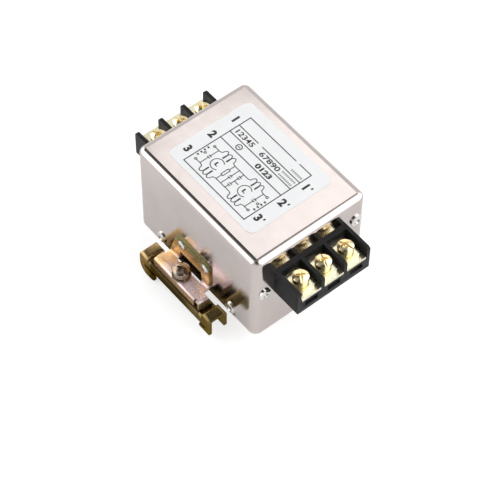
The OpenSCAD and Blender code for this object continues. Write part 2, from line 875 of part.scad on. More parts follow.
// Half of a choke's winding: a sleeve on the core and one loop of wire for each turn
module winding(side, half) {
    arc = (turns - 1) * turn_angle;
    middle_r = (core_r + core_bore_r) / 2;
    slack = 0.15;
    inner_l = core_r - core_bore_r + 2 * slack;
    inner_h = core_h + 2 * slack;
    wire_in = sleeve_t / 2;
    wire_out = wire_in + 2 * wire_r;
    color("#b87333") at_case() translate([side * choke_x, choke_y, choke_z + core_h / 2])
        rotate([0, 0, half * 90]) {
            rotate([0, 0, -arc / 2]) rotate_extrude(angle = arc) translate([middle_r, 0]) difference() {
                square([inner_l + 2 * sleeve_t, inner_h + 2 * sleeve_t], center = true);
                square([inner_l, inner_h], center = true);
            }
            for (turn = [0:turns - 1]) rotate([0, 0, -arc / 2 + turn * turn_angle])
                translate([middle_r, 0, 0]) along_y(-loop_half_t, loop_half_t) difference() {
                    rounded_rect(inner_l + 2 * wire_out, inner_h + 2 * wire_out, wire_out);
                    square([inner_l + 2 * wire_in, inner_h + 2 * wire_in], center = true);
                }
            // Legs that stand the choke on the board
            for (end = [-1, 1]) rotate([0, 0, end * arc / 2])
                translate([core_r + slack + wire_in + wire_r, 0, board_top - choke_z - core_h / 2])
                    cylinder(h = core_h / 2, r = loop_half_t);
        }
}

// Film capacitor across the line: a boxed block that stands on four small feet
module x_capacitor(side) {
    corner = 1;
    foot_h = 0.5;
    foot = [2, 1.5];
    color("#c9b037") at_case() translate([side * choke_x, x_cap_y, board_top]) {
        translate([0, 0, foot_h]) linear_extrude(x_cap[2]) rounded_rect(x_cap[0], x_cap[1], corner);
        for (x = [-1, 1], y = [-1, 1])
            translate([x * (x_cap[0] / 2 - foot[0]), y * (x_cap[1] / 2 - foot[1]), foot_h / 2])
                cube([foot[0], foot[1], foot_h], center = true);
    }
}

module y_cap_pins(x) {
    for (side = [-1, 1]) translate([x + side * y_cap_pin_x, y_cap_y, 0]) children();
}

// Disc capacitor to earth, standing on its two wires
module y_capacitor(index) {
    x = y_cap_x[index];
    centre_z = board_top + y_cap_r + 2;
    color("#3f6fae") at_case() {
        translate([x, y_cap_y + y_cap_t / 2, centre_z]) rotate([90, 0, 0]) rotate_extrude() {
            square([y_cap_r - y_cap_t / 2, y_cap_t]);
            intersection() {
                translate([y_cap_r - y_cap_t / 2, y_cap_t / 2]) circle(y_cap_t / 2);
                square([y_cap_r, y_cap_t]);
            }
        }
        y_cap_pins(x) translate([0, 0, board_z - 1]) cylinder(h = centre_z - board_z, r = pin_r);
    }
}

module resistor_pins() {
    for (side = [-1, 1]) translate([side * resistor_pin_x, resistor_y, 0]) children();
}

// Resistor that empties the capacitors, lying just above the board
module bleed_resistor() {
    centre_z = board_top + resistor_r + 0.4;
    color("#b58a5a") at_case() {
        translate([-resistor_l / 2, resistor_y, centre_z]) rotate([0, 90, 0])
            cylinder(h = resistor_l, r = resistor_r);
        translate([-resistor_pin_x, resistor_y, centre_z]) rotate([0, 90, 0])
            cylinder(h = 2 * resistor_pin_x, r = pin_r);
        resistor_pins() translate([0, 0, board_z - 1]) cylinder(h = centre_z - board_z + 1 + pin_r, r = pin_r);
    }
}

// Wires from the board up to the tails of the two outer poles
module leads() {
    for (pole = [-1, 1]) translate([lead_hole_x, pole * pole_pitch, board_top])
        cylinder(h = strip_top + 1 - board_top, r = lead_r);
}

// Wire that joins both centre poles over the chokes and drops to the board
module earth_lead() {
    wire_z = strip_top + lead_r + gap;
    end_x = half_l + lead_hole_x;
    color("#8fae3c") at_case() {
        translate([-end_x, 0, wire_z]) rotate([0, 90, 0]) cylinder(h = 2 * end_x, r = lead_r);
        for (x = [-end_x, end_x]) translate([x, 0, bay_floor_z - over]) {
            cylinder(h = wire_z - bay_floor_z + over, r = lead_r);
            translate([0, 0, wire_z - bay_floor_z + over]) sphere(lead_r);
        }
        translate([earth_drop_x, 0, board_top]) cylinder(h = wire_z - board_top, r = lead_r);
    }
}

case_can();
base_plate();
base_screws();
rating_label();
insulating_sheet();

at_line_end() block_housing();  // line_block_housing
at_load_end() block_housing();  // load_block_housing
at_line_end() block_screws();  // line_block_screws
at_load_end() block_screws();  // load_block_screws
at_line_end() strip(-1);  // line_strip_1
at_line_end() strip(0);  // line_strip_2
at_line_end() strip(1);  // line_strip_3
at_load_end() strip(-1);  // load_strip_1
at_load_end() strip(0);  // load_strip_2
at_load_end() strip(1);  // load_strip_3
at_line_end() clamp_plates();  // line_clamp_plates
at_load_end() clamp_plates();  // load_clamp_plates
at_line_end() terminal_washers();  // line_spring_washers
at_load_end() terminal_washers();  // load_spring_washers
at_line_end() terminal_screws();  // line_terminal_screws
at_load_end() terminal_screws();  // load_terminal_screws

at_front_clip() bracket();  // front_bracket
at_back_clip() bracket();  // back_bracket
at_front_clip() rivets();  // front_rivets
at_back_clip() rivets();  // back_rivets
at_front_clip() hook();  // front_hook
at_back_clip() hook();  // back_hook
at_front_clip() jaw();  // front_jaw
at_back_clip() jaw();  // back_jaw
at_front_clip() clamp_screw();  // front_clamp_screw
at_back_clip() clamp_screw();  // back_clamp_screw
at_front_clip() clamp_spring_washer();  // front_spring_washer
at_back_clip() clamp_spring_washer();  // back_spring_washer
at_front_clip() clamp_flat_washer();  // front_flat_washer
at_back_clip() clamp_flat_washer();  // back_flat_washer
at_front_clip() clamp_nut_plate();  // front_nut_plate
at_back_clip() clamp_nut_plate();  // back_nut_plate

circuit_board();
board_pillars();
board_screws();
choke_core(-1);  // input_choke_core
choke_core(1);  // output_choke_core
winding(-1, 1);  // input_winding_a
winding(-1, -1);  // input_winding_b
winding(1, 1);  // output_winding_a
winding(1, -1);  // output_winding_b
x_capacitor(-1);  // x_capacitor_1
x_capacitor(1);  // x_capacitor_2
y_capacitor(0);  // y_capacitor_1
y_capacitor(1);  // y_capacitor_2
y_capacitor(2);  // y_capacitor_3
y_capacitor(3);  // y_capacitor_4
bleed_resistor();
color("#7a3b2a") at_line_end() leads();  // line_leads
color("#7a3b2a") at_load_end() leads();  // load_leads
earth_lead();
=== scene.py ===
# Looks of the EMI line filter: finishes, softened edges, the label's print, screw threads, light and camera.
import json
import math

import bmesh
import bpy
from mathutils import Matrix, Vector


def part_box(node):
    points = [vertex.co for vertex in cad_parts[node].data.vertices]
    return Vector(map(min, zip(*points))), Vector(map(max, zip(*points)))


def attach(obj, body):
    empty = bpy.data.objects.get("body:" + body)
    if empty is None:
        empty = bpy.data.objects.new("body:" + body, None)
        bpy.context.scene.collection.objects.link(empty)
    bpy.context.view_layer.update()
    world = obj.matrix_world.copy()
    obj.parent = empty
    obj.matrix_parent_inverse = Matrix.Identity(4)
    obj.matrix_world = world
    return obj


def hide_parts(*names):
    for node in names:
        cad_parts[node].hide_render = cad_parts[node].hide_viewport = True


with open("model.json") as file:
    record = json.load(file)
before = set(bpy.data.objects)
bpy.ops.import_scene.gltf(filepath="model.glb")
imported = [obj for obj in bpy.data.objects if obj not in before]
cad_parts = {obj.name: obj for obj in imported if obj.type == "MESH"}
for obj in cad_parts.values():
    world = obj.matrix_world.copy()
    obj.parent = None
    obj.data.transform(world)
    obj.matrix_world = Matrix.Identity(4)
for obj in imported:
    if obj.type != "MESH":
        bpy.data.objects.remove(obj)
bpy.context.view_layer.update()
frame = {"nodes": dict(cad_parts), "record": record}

MM = 0.001
BODY = "filter"
NODES = frame["nodes"]
RECORD = frame["record"]
SLOT_OF = {row["node"]: row["material_slot"] for row in RECORD["subparts"]}
BODY_OF = {node: body for body, members in RECORD["behaviour"]["bodies"].items() for node in members}


# Camera, with its place in metres and its directions as unit vectors

CAMERA_PLACE = (0.344307, -0.288173, 0.632679)
CAMERA_RIGHT = (0.63266, 0.77438, 0.00884)
CAMERA_UP = (-0.63308, 0.51058, 0.58182)
CAMERA_BACK = (0.44604, -0.37369, 0.81327)
LENS_MM = 139.348
SENSOR_MM = 36
NEAREST = 0.01
FARTHEST = 20


def make_camera():
    data = bpy.data.cameras.new("camera")
    data.lens = LENS_MM
    data.sensor_width = SENSOR_MM
    data.clip_start = NEAREST
    data.clip_end = FARTHEST
    camera = bpy.data.objects.new("camera", data)
    turn = Matrix((CAMERA_RIGHT, CAMERA_UP, CAMERA_BACK)).transposed()
    camera.matrix_world = Matrix.Translation(CAMERA_PLACE) @ turn.to_4x4()
    bpy.context.scene.collection.objects.link(camera)
    bpy.context.scene.camera = camera


# Node building

# Noise lies mostly between these two
NOISE_LOW = 0.3
NOISE_HIGH = 0.7


class Nodes:
    """A node tree that starts empty, with short calls for the nodes used here."""

    # Where the Mix node keeps its two colours and its mixed colour
    MIX_FIRST, MIX_SECOND, MIX_RESULT = 6, 7, 2

    def __init__(self, tree, output_kind):
        self.tree = tree
        self.tree.nodes.clear()
        self.output = self.add(output_kind)

    def add(self, kind, **values):
        node = self.tree.nodes.new(kind)
        for key, value in values.items():
            setattr(node, key, value)
        return node

    def link(self, source, socket):
        self.tree.links.new(source, socket)

    def show(self, shader):
        self.link(shader, self.output.inputs["Surface"])

    def spread(self, factor, first, last, start=NOISE_LOW, stop=NOISE_HIGH, interpolation="LINEAR"):
        """A value that runs from first to last as the factor runs from start to stop."""
        node = self.add("ShaderNodeMapRange", interpolation_type=interpolation)
        node.inputs["From Min"].default_value = start
        node.inputs["From Max"].default_value = stop
        node.inputs["To Min"].default_value = first
        node.inputs["To Max"].default_value = last
        self.link(factor, node.inputs["Value"])
        return node.outputs[0]

    def combine(self, operation, first, second):
        node = self.add("ShaderNodeMath", operation=operation)
        self.link(first, node.inputs[0])
        self.link(second, node.inputs[1])
        return node.outputs[0]

    def mix_colours(self, factor, first, second):
        node = self.add("ShaderNodeMix", data_type="RGBA")
        self.link(factor, node.inputs[0])
        self.link(first, node.inputs[self.MIX_FIRST])
        self.link(second, node.inputs[self.MIX_SECOND])
        return node.outputs[self.MIX_RESULT]

    def mix_shaders(self, factor, first, second):
        node = self.add("ShaderNodeMixShader")
        self.link(factor, node.inputs[0])
        self.link(first, node.inputs[1])
        self.link(second, node.inputs[2])
        return node.outputs[0]


class Finish(Nodes):
    """A material round one Principled BSDF, whose constant values are given by socket name."""

    def __init__(self, name, constants):
        self.material = bpy.data.materials.new(name)
        self.material.use_nodes = True
        super().__init__(self.material.node_tree, "ShaderNodeOutputMaterial")
        self.place = self.add("ShaderNodeTexCoord").outputs["Object"]
        self.surface = self.add("ShaderNodeBsdfPrincipled")
        for socket, value in constants.items():
            self.surface.inputs[socket].default_value = value
        self.show(self.surface.outputs[0])

    def noise(self, size_mm, detail=3.0, distortion=0.0, stretch=None):
        """Noise from 0 to 1 with features of about the size given, longer where stretch is under 1."""
        place = self.place
        if stretch:
            mapping = self.add("ShaderNodeMapping")
            mapping.inputs["Scale"].default_value = stretch
            self.link(place, mapping.inputs["Vector"])
            place = mapping.outputs[0]
        node = self.add("ShaderNodeTexNoise")
        node.inputs["Scale"].default_value = 1 / (size_mm * MM)
        node.inputs["Detail"].default_value = detail
        node.inputs["Distortion"].default_value = distortion
        self.link(place, node.inputs["Vector"])
        return node.outputs["Fac"]

    def ramp(self, factor, stops):
        """Colour ramp from (place, colour) pairs."""
        node = self.add("ShaderNodeValToRGB")
        ends = node.color_ramp.elements
        while len(ends) < len(stops):
            ends.new(0.5)
        for end, (place, colour) in zip(ends, stops):
            end.position = place
            end.color = (*colour, 1)
        self.link(factor, node.inputs[0])
        return node.outputs[0]

    def colour(self, source):
        self.link(source, self.surface.inputs["Base Color"])

    def mottle(self, noise, dark, light, start=NOISE_LOW, stop=NOISE_HIGH):
        """Colour that goes from dark to light with the noise."""
        self.colour(self.ramp(noise, [(start, dark), (stop, light)]))

    def roughness(self, noise, low, high):
        self.link(self.spread(noise, low, high), self.surface.inputs["Roughness"])

    def bump(self, height, strength, depth_mm=0.02):
        node = self.add("ShaderNodeBump")
        node.inputs["Strength"].default_value = strength
        node.inputs["Distance"].default_value = depth_mm * MM
        self.link(height, node.inputs["Height"])
        self.link(node.outputs[0], self.surface.inputs["Normal"])


def tone(colour, factor):
    """The colour made darker or lighter, up to white."""
    return tuple(min(1.0, c * factor) for c in colour)


# Materials, with the sizes of their features in millimetres

def can_metal(name):
    """Bright tinned sheet: a soft cloudiness, faint drawing marks up the sides and a haze."""
    colour = (0.644, 0.578, 0.553)
    sheet = Finish(name, {"Metallic": 1.0})
    sheet.mottle(sheet.noise(14, detail=4), tone(colour, 0.97), tone(colour, 1.03), 0.35, 0.65)
    sheet.roughness(sheet.noise(5, detail=5), 0.11, 0.15)
    marks = sheet.noise(1.2, detail=2, stretch=(1.0, 1.0, 0.06))
    sheet.bump(marks, 0.05)
    return sheet.material


def bright_screw(name):
    """Bright nickel plate, a little uneven in polish."""
    colour = (0.80, 0.775, 0.75)
    plate = Finish(name, {"Metallic": 1.0})
    plate.mottle(plate.noise(1.5), tone(colour, 0.90), tone(colour, 1.05))
    plate.roughness(plate.noise(0.8), 0.12, 0.22)
    plate.bump(plate.noise(0.35), 0.08)
    return plate.material


def label_film(name):
    """White film with a thin satin coat."""
    film = Finish(name, {"Coat Weight": 0.15, "Coat Roughness": 0.2})
    film.mottle(film.noise(9), (0.840, 0.844, 0.852), (0.868, 0.872, 0.882))
    film.roughness(film.noise(2), 0.36, 0.44)
    film.bump(film.noise(0.5), 0.04)
    return film.material


def print_ink(name):
    """Matt black ink."""
    ink = Finish(name, {})
    ink.mottle(ink.noise(1.0), (0.0125, 0.0125, 0.0135), (0.027, 0.027, 0.029))
    ink.roughness(ink.noise(0.6), 0.42, 0.55)
    return ink.material


def black_moulding(name):
    """Glass-filled moulding: low sheen, fine spark-eroded grain and faint flow lines."""
    plastic = Finish(name, {"Specular IOR Level": 0.20})
    plastic.mottle(plastic.noise(3, detail=5), (0.0125, 0.0125, 0.0135), (0.020, 0.020, 0.021))
    plastic.roughness(plastic.noise(1.6, detail=4), 0.48, 0.60)
    grain = plastic.noise(0.22, detail=2)
    flow = plastic.noise(2.2, stretch=(1.0, 0.25, 1.0))
    plastic.bump(plastic.combine("ADD", grain, flow), 0.16, 0.03)
    return plastic.material


def brass(name, colour, rough):
    """Bright brass with soft spots and fine marks along X."""
    metal = Finish(name, {"Metallic": 1.0})
    metal.mottle(metal.noise(2.2, detail=4), tone(colour, 0.93), tone(colour, 1.04))
    metal.roughness(metal.noise(1.0), rough * 0.8, rough * 1.25)
    metal.bump(metal.noise(0.4, stretch=(0.3, 1.0, 1.0)), 0.10)
    return metal.material


def brass_plate(name):
    return brass(name, colour=(0.98, 0.92, 0.68), rough=0.24)


def brass_screw(name):
    return brass(name, colour=(0.98, 0.83, 0.50), rough=0.17)


def clamp_steel(name):
    """Dull plated steel of the clamp screws and their washers."""
    steel = Finish(name, {"Metallic": 1.0})
    steel.mottle(steel.noise(1.8, detail=4), (0.31, 0.24, 0.175), (0.52, 0.42, 0.34))
    steel.roughness(steel.noise(0.8), 0.14, 0.26)
    steel.bump(steel.noise(0.4), 0.10)
    return steel.material


# Colours of the chromate film, and of the painted shade on it
GOLD = (0.98, 0.78, 0.55)
AMBER = (0.95, 0.60, 0.275)
ROSE = (0.98, 0.78, 0.71)
LILAC = (0.98, 0.80, 0.86)
GREEN = (0.62, 0.70, 0.325)
OLIVE = (0.19, 0.14, 0.056)
KHAKI = (0.40, 0.275, 0.13)
# Painted shade on the middle of the hook and jaw
OLIVE_SHADE = (0.056, 0.038, 0.015)
BROWN = (0.40, 0.25, 0.125)
RUST = (0.45, 0.225, 0.075)
MOSS = (0.25, 0.225, 0.10)

# Tint of the film's gloss, and how rough it is
FILM_TINT = (0.56, 0.475, 0.35, 1)
FILM_ROUGH = 0.24
# The film's colours, with the painted shade on the hook and jaw, run along X from the hook's end of a clip
# to the jaw's
CLIP_ENDS_MM = (-24, 21)
# Noise levels at which a cloud is at its least and at its most
CLOUD_EDGES = (0.25, 0.75)

# The bracket's colours along its flat plate, by share of the clip's length
PLATE_COLOURS = [
    (0.08, GOLD),
    (0.22, AMBER),
    (0.36, ROSE),
    (0.55, LILAC),
    (0.72, ROSE),
    (0.78, LILAC),
    (0.82, GREEN),
]
# The bracket's colours off its flat plate, by height in millimetres: partly the film's own colour, partly
# painted shade that keeps the upright flanges darker than the flat plate. The plate lies between the second
# height and the third.
FLANGE_COLOURS_AND_SHADE = [
    (9.9, BROWN),
    (13.1, BROWN),
    (15.9, RUST),
    (18.9, AMBER),
    (22.9, RUST),
    (26.6, MOSS),
]
UNDER_PLATE_MM = FLANGE_COLOURS_AND_SHADE[1][0]
OVER_PLATE_MM = FLANGE_COLOURS_AND_SHADE[2][0]
UNDER_BLEND_MM = 0.5
OVER_BLEND_MM = 0.8
FLANGE_DRIFT = 0.03

# The colours along hook and jaw, by share of the clip's length: khaki and olive film towards the ends, and
# painted shade in the middle, where the bracket shades the channel
CHANNEL_COLOURS_AND_SHADE = [
    (0.06, KHAKI),
    (0.13, OLIVE),
    (0.18, OLIVE_SHADE),
    (0.60, OLIVE_SHADE),
    (0.82, OLIVE),
]


def flange_colours(film, height, cloud):
    """The bracket's colour by height, partly film colour and partly painted shade on the upright flanges,
    and a value that is 1 off its flat plate and 0 on it.
    """
    low, high = FLANGE_COLOURS_AND_SHADE[0][0], FLANGE_COLOURS_AND_SHADE[-1][0]
    rise = film.spread(height, 0.0, 1.0, low * MM, high * MM)
    drift = film.spread(cloud, -FLANGE_DRIFT, FLANGE_DRIFT, *CLOUD_EDGES)
    stops = [((z - low) / (high - low), tint) for z, tint in FLANGE_COLOURS_AND_SHADE]
    colour = film.ramp(film.combine("ADD", rise, drift), stops)
    under = film.spread(height, 1.0, 0.0, UNDER_PLATE_MM * MM, (UNDER_PLATE_MM + UNDER_BLEND_MM) * MM)
    over = film.spread(height, 0.0, 1.0, (OVER_PLATE_MM - OVER_BLEND_MM) * MM, OVER_PLATE_MM * MM)
    return colour, film.combine("MAXIMUM", under, over)


def chromate(name, stops, cloud_mm, drift, metallic, flanges=False):
    """Yellow chromate: the colour, with the painted shade that its stops and flange heights hold, drifts
    along the piece and breaks into soft clouds.
    """
    film = Finish(name, {"Metallic": metallic, "Specular Tint": FILM_TINT})
    axes = film.add("ShaderNodeSeparateXYZ")
    film.link(film.place, axes.inputs[0])
    first, last = CLIP_ENDS_MM
    run = film.spread(axes.outputs["X"], 0.0, 1.0, first * MM, last * MM)
    cloud = film.noise(cloud_mm, detail=3, distortion=0.6)
    colour = film.ramp(film.combine("ADD", run, film.spread(cloud, -drift, drift, *CLOUD_EDGES)), stops)
    if flanges:
        flange_colour, off_plate = flange_colours(film, axes.outputs["Z"], cloud)
        # Off the flat plate the colour holds painted shade that darkens the upright flanges
        colour = film.mix_colours(off_plate, colour, flange_colour)
    film.colour(colour)
    film.roughness(film.noise(1.2), FILM_ROUGH * 0.8, FILM_ROUGH * 1.3)
    film.bump(film.noise(0.5, detail=4), 0.12)
    return film.material


def chromate_bracket(name):
    # The flanges' colours hold painted shade besides the film's own colour
    return chromate(name, PLATE_COLOURS, cloud_mm=9, drift=0.08, metallic=0.40, flanges=True)


def chromate_channel(name):
    # The stops darken the middle of the hook and jaw as painted shade
    return chromate(name, CHANNEL_COLOURS_AND_SHADE, cloud_mm=7, drift=0.05, metallic=1.0)


def inner_finish(name, dark, light, cloud, rough, grain=0.4, bump=0.1, metallic=0.0):
    """Finish of a piece inside the can: two tones in clouds, and a grain."""
    finish = Finish(name, {"Metallic": metallic})
    finish.mottle(finish.noise(cloud, detail=4), dark, light)
    finish.roughness(finish.noise(cloud / 2), rough * 0.85, rough * 1.15)
    finish.bump(finish.noise(grain), bump, 0.03)
    return finish.material


OUTER_FINISHES = {
    "can_metal": can_metal,
    "bright_screw": bright_screw,
    "label_film": label_film,
    "black_moulding": black_moulding,
    "brass_plate": brass_plate,
    "brass_screw": brass_screw,
    "chromate_bracket": chromate_bracket,
    "chromate_channel": chromate_channel,
    "clamp_steel": clamp_steel,
}

INNER_FINISHES = {
    "insulator": dict(dark=(0.60, 0.54, 0.36), light=(0.70, 0.64, 0.46), cloud=3, rough=0.6, grain=0.3,
                      bump=0.3),
    "board_laminate": dict(dark=(0.06, 0.17, 0.05), light=(0.09, 0.22, 0.07), cloud=4, rough=0.32),
    "ferrite": dict(dark=(0.02, 0.02, 0.022), light=(0.05, 0.05, 0.055), cloud=2, rough=0.55, grain=0.3,
                    bump=0.3),
    "copper_wire": dict(dark=(0.56, 0.22, 0.09), light=(0.70, 0.32, 0.14), cloud=3, rough=0.25, grain=0.6,
                        metallic=1.0),
    "yellow_capacitor": dict(dark=(0.66, 0.46, 0.03), light=(0.76, 0.55, 0.05), cloud=6, rough=0.3),
    "blue_capacitor": dict(dark=(0.02, 0.10, 0.33), light=(0.04, 0.15, 0.42), cloud=3, rough=0.25),
    "resistor_body": dict(dark=(0.48, 0.30, 0.15), light=(0.56, 0.37, 0.20), cloud=2, rough=0.4),
    "lead_wire": dict(dark=(0.20, 0.05, 0.03), light=(0.26, 0.07, 0.04), cloud=3, rough=0.45),
    "earth_wire": dict(dark=(0.20, 0.34, 0.03), light=(0.55, 0.56, 0.05), cloud=2.5, rough=0.45),
}


def make_finishes():
    finishes = {slot: make(slot) for slot, make in OUTER_FINISHES.items()}
    for slot, values in INNER_FINISHES.items():
        finishes[slot] = inner_finish(slot, **values)
    return finishes


# Pieces

def dress(mesh, material):
    mesh.materials.clear()
    mesh.materials.append(material)


def dress_nodes(finishes):
    for name, node in NODES.items():
        dress(node.data, finishes[SLOT_OF[name]])


def add_piece(name, mesh, body, material):
    piece = bpy.data.objects.new(name, mesh)
    dress(mesh, material)
    bpy.context.scene.collection.objects.link(piece)
    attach(piece, body)
    return piece


def evaluated_mesh(piece):
    graph = bpy.context.evaluated_depsgraph_get()
    return bpy.data.meshes.new_from_object(piece.evaluated_get(graph))


def mesh_of(form, name):
    mesh = bpy.data.meshes.new(name)
    form.to_mesh(mesh)
    form.free()
    return mesh


def closed_mesh_of(form, name):
    """A mesh of a closed form, with its faces turned outwards."""
    bmesh.ops.recalc_face_normals(form, faces=form.faces)
    return mesh_of(form, name)


def join_rings(form, rings, closed=False):
    """Faces from each ring of four corners to the next, and a face on each end of an open row."""
    following = rings[1:] + rings[:1] if closed else rings[1:]
    for a, b in zip(rings, following):
        for k in range(4):
            form.faces.new((a[k], b[k], b[(k + 1) % 4], a[(k + 1) % 4]))
    if not closed:
        form.faces.new(rings[0])
        form.faces.new(rings[-1][::-1])


# Width in millimetres of the softened edges, by the ending of the CAD node's name
SOFT_EDGES = {
    "housing": 0.16,
    "bracket": 0.18,
    "hook": 0.16,
    "jaw": 0.16,
}
# Edges that fold by more than this are softened
SHARP = math.radians(32)
# Points closer than this in millimetres become one, and faces that fold by less than this become one
SAME_POINT_MM = 0.002
SAME_FACE = math.radians(0.5)


def soften(name, width_mm, finishes):
    """A copy of a CAD node with its sharp edges broken, which stands for the node."""
    form = bmesh.new()
    form.from_mesh(NODES[name].data)
    bmesh.ops.remove_doubles(form, verts=form.verts, dist=SAME_POINT_MM * MM)
    bmesh.ops.dissolve_limit(form, angle_limit=SAME_FACE, verts=form.verts, edges=form.edges)
    mesh = mesh_of(form, name + ".edges")
    for face in mesh.polygons:
        face.use_smooth = True
    slot = SLOT_OF[name]
    piece = add_piece(name + "_softened", mesh, BODY_OF[name], finishes[slot])
    bevel = piece.modifiers.new("edges", "BEVEL")
    bevel.width = width_mm * MM
    bevel.segments = 2
    bevel.limit_method = "ANGLE"
    bevel.angle_limit = SHARP
    bevel.use_clamp_overlap = True
    bevel.harden_normals = True
    softened = evaluated_mesh(piece)
    piece.modifiers.clear()
    piece.data = softened
    dress(softened, finishes[slot])
    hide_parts(name)


def soften_edges(finishes):
    for name in sorted(NODES):
        for ending, width in SOFT_EDGES.items():
            if name.endswith(ending):
                soften(name, width, finishes)


# Radii of the can in millimetres: its upright corners and upper edge in the CAD, then the corners as drawn
# here, on the sides and where they are sharpest
CAN_CORNER_R = 4.5
CAN_EDGE_R = 2.8
SEEN_CORNER_R = 3.4
SHARPEST_R = 0.05
# Rounding allowed for in telling which points lie in a corner
SLACK_MM = 0.001


def drawn_can(finishes):
    """A copy of the can that stands for it, with tighter corners that end as points on the flat top."""
    low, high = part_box("case_can")
    middle_x, middle_y = (low.x + high.x) / 2, (low.y + high.y) / 2
    half = Vector((high.x - low.x, high.y - low.y)) / 2 / MM
    mesh = NODES["case_can"].data.copy()
    mesh.name = "case_can.corners"
    for v in mesh.vertices:
        spot = Vector((v.co.x - middle_x, v.co.y - middle_y)) / MM
        out = Vector((abs(spot.x), abs(spot.y))) - half + Vector((CAN_CORNER_R, CAN_CORNER_R))
        if min(out) < -SLACK_MM or out.length < SLACK_MM:
            continue
        depth = CAN_CORNER_R - out.length
        radius = max(SHARPEST_R, SEEN_CORNER_R * (1 - depth / CAN_EDGE_R))
        centre = half - Vector((depth + radius, depth + radius))
        moved = centre + out.normalized() * radius
        v.co.x = middle_x + math.copysign(moved.x, spot.x) * MM
        v.co.y = middle_y + math.copysign(moved.y, spot.y) * MM
    piece = add_piece("case_can_drawn", mesh, BODY, finishes["can_metal"])
    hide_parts("case_can")


# Label print, in millimetres about the middle of the can's top

class Print:
    """Strokes of one height, drawn as thin closed ribbons on the label."""

    THICK = 0.03
    # A corner reaches out to half the stroke's width divided by this, at most
    MITRE = 0.5

    def __init__(self, level):
        self.form = bmesh.new()
        self.level = level

    def ribbon(self, points, width, closed=False):
        """A stroke of even width along the points, with mitred corners."""
        spots = [Vector(p) for p in points]
        count = len(spots)
        low, high = self.level - self.THICK / 2, self.level + self.THICK / 2
        rings = []
        for i, spot in enumerate(spots):
            ways = []
            if closed or i > 0:
                ways.append((spot - spots[i - 1]).normalized())
            if closed or i < count - 1:
                ways.append((spots[(i + 1) % count] - spot).normalized())
            way = sum(ways, Vector((0, 0))).normalized()
            side = Vector((-way.y, way.x))
            reach = width / 2 / max(self.MITRE, side.dot(Vector((-ways[0].y, ways[0].x))))
            left, right = spot + side * reach, spot - side * reach
            corners = ((left, high), (right, high), (right, low), (left, low))
            rings.append([self.form.verts.new((p.x * MM, p.y * MM, z * MM)) for p, z in corners])
        join_rings(self.form, rings, closed)

    def line(self, x0, y0, x1, y1, width):
        self.ribbon([(x0, y0), (x1, y1)], width)

    def strokes(self, first, step, count, half, width):
        """Equal short strokes, by the first one's middle, the step to the next and half a stroke."""
        for k in range(count):
            x, y = first[0] + k * step[0], first[1] + k * step[1]
            self.line(x - half[0], y - half[1], x + half[0], y + half[1], width)

    def arc(self, centre, radius, start, stop, width, steps=24):
        """An arc between two angles in degrees."""
        spots = []
        for i in range(steps + 1):
            angle = math.radians(start + (stop - start) * i / steps)
            spots.append((centre[0] + radius * math.cos(angle), centre[1] + radius * math.sin(angle)))
        self.ribbon(spots, width)

    def circle(self, centre, radius, width, steps):
        turns = [2 * math.pi * i / steps for i in range(steps)]
        spots = [(centre[0] + radius * math.cos(t), centre[1] + radius * math.sin(t)) for t in turns]
        self.ribbon(spots, width, closed=True)

    def finish(self, name, material):
        add_piece(name, closed_mesh_of(self.form, name), BODY, material)


def digit_outlines(name, text, bold):
    """Plain digits as a flat mesh, at the size and place that Blender gives them."""
    curve = bpy.data.curves.new(name, "FONT")
    curve.body = text
    curve.size = 1.0
    curve.offset = bold
    curve.align_x = "CENTER"
    curve.align_y = "CENTER"
    curve.resolution_u = 4
    text_object = bpy.data.objects.new(name, curve)
    bpy.context.scene.collection.objects.link(text_object)
    bpy.context.view_layer.update()
    outlines = evaluated_mesh(text_object)
    bpy.data.objects.remove(text_object)
    return outlines


def number(name, text, centre, height, bold, level, material, width=None):
    """Plain digits with a little thickness, fitted to a height, and to a width where one is given."""
    form = bmesh.new()
    form.from_mesh(digit_outlines(name, text, bold))
    xs = [v.co.x for v in form.verts]
    ys = [v.co.y for v in form.verts]
    scale_y = height / (max(ys) - min(ys))
    scale_x = width / (max(xs) - min(xs)) if width else scale_y
    mid_x, mid_y = (max(xs) + min(xs)) / 2, (max(ys) + min(ys)) / 2
    for v in form.verts:
        v.co.x = (centre[0] + (v.co.x - mid_x) * scale_x) * MM
        v.co.y = (centre[1] + (v.co.y - mid_y) * scale_y) * MM
        v.co.z = (level + Print.THICK / 2) * MM
    rise = bmesh.ops.extrude_face_region(form, geom=form.faces[:])
    for v in [g for g in rise["geom"] if isinstance(g, bmesh.types.BMVert)]:
        v.co.z = (level - Print.THICK / 2) * MM
    add_piece(name, closed_mesh_of(form, name), BODY, material)


# Widths of the strokes
FRAME_LINE = 0.42
THIN_LINE = 0.36
BOLD_LINE = 0.68

# The printed border and its rows, each with a gap in one line
FRAME_X = (-19.6, 16.4)
FRAME_Y = (-16.6, 16.1)
BORDER_GAP_X = (7.6, 9.5)
ROW_Y = (10.4, 5.8, 1.2)
ROW_GAP_X = (-8.0, -5.7)

# The circuit: two wires with a terminal at each end, and a third pair of terminals between them
WIRE_X = (-17.3, 14.0)
WIRE_Y = (-3.5, -12.7)
MIDDLE_Y = -8.1
TERMINAL_R = 0.45
# Each choke's start, end and middle of its ring
CHOKES_X = ((-14.2, -5.4, -10.0), (2.8, 11.2, 6.4))
CHOKE_TURNS = 3
# How far the turns' feet stand off the wire, how far they rise from there, and where the bold dash between
# two turns starts and ends
TURN_FOOT = 0.5
TURN_RISE = 1.9
TURN_DASH = (0.4, -1.3)
# The open ring, its ends in degrees, and the angle mark in it as seen from the ring's middle
RING_R = 2.7
RING_ENDS = (45, 315)
ANGLE_TOP = (-0.5, 0.9)
ANGLE_FOOT_X = (-0.7, 0.8)
ANGLE_FOOT_Y = -0.8
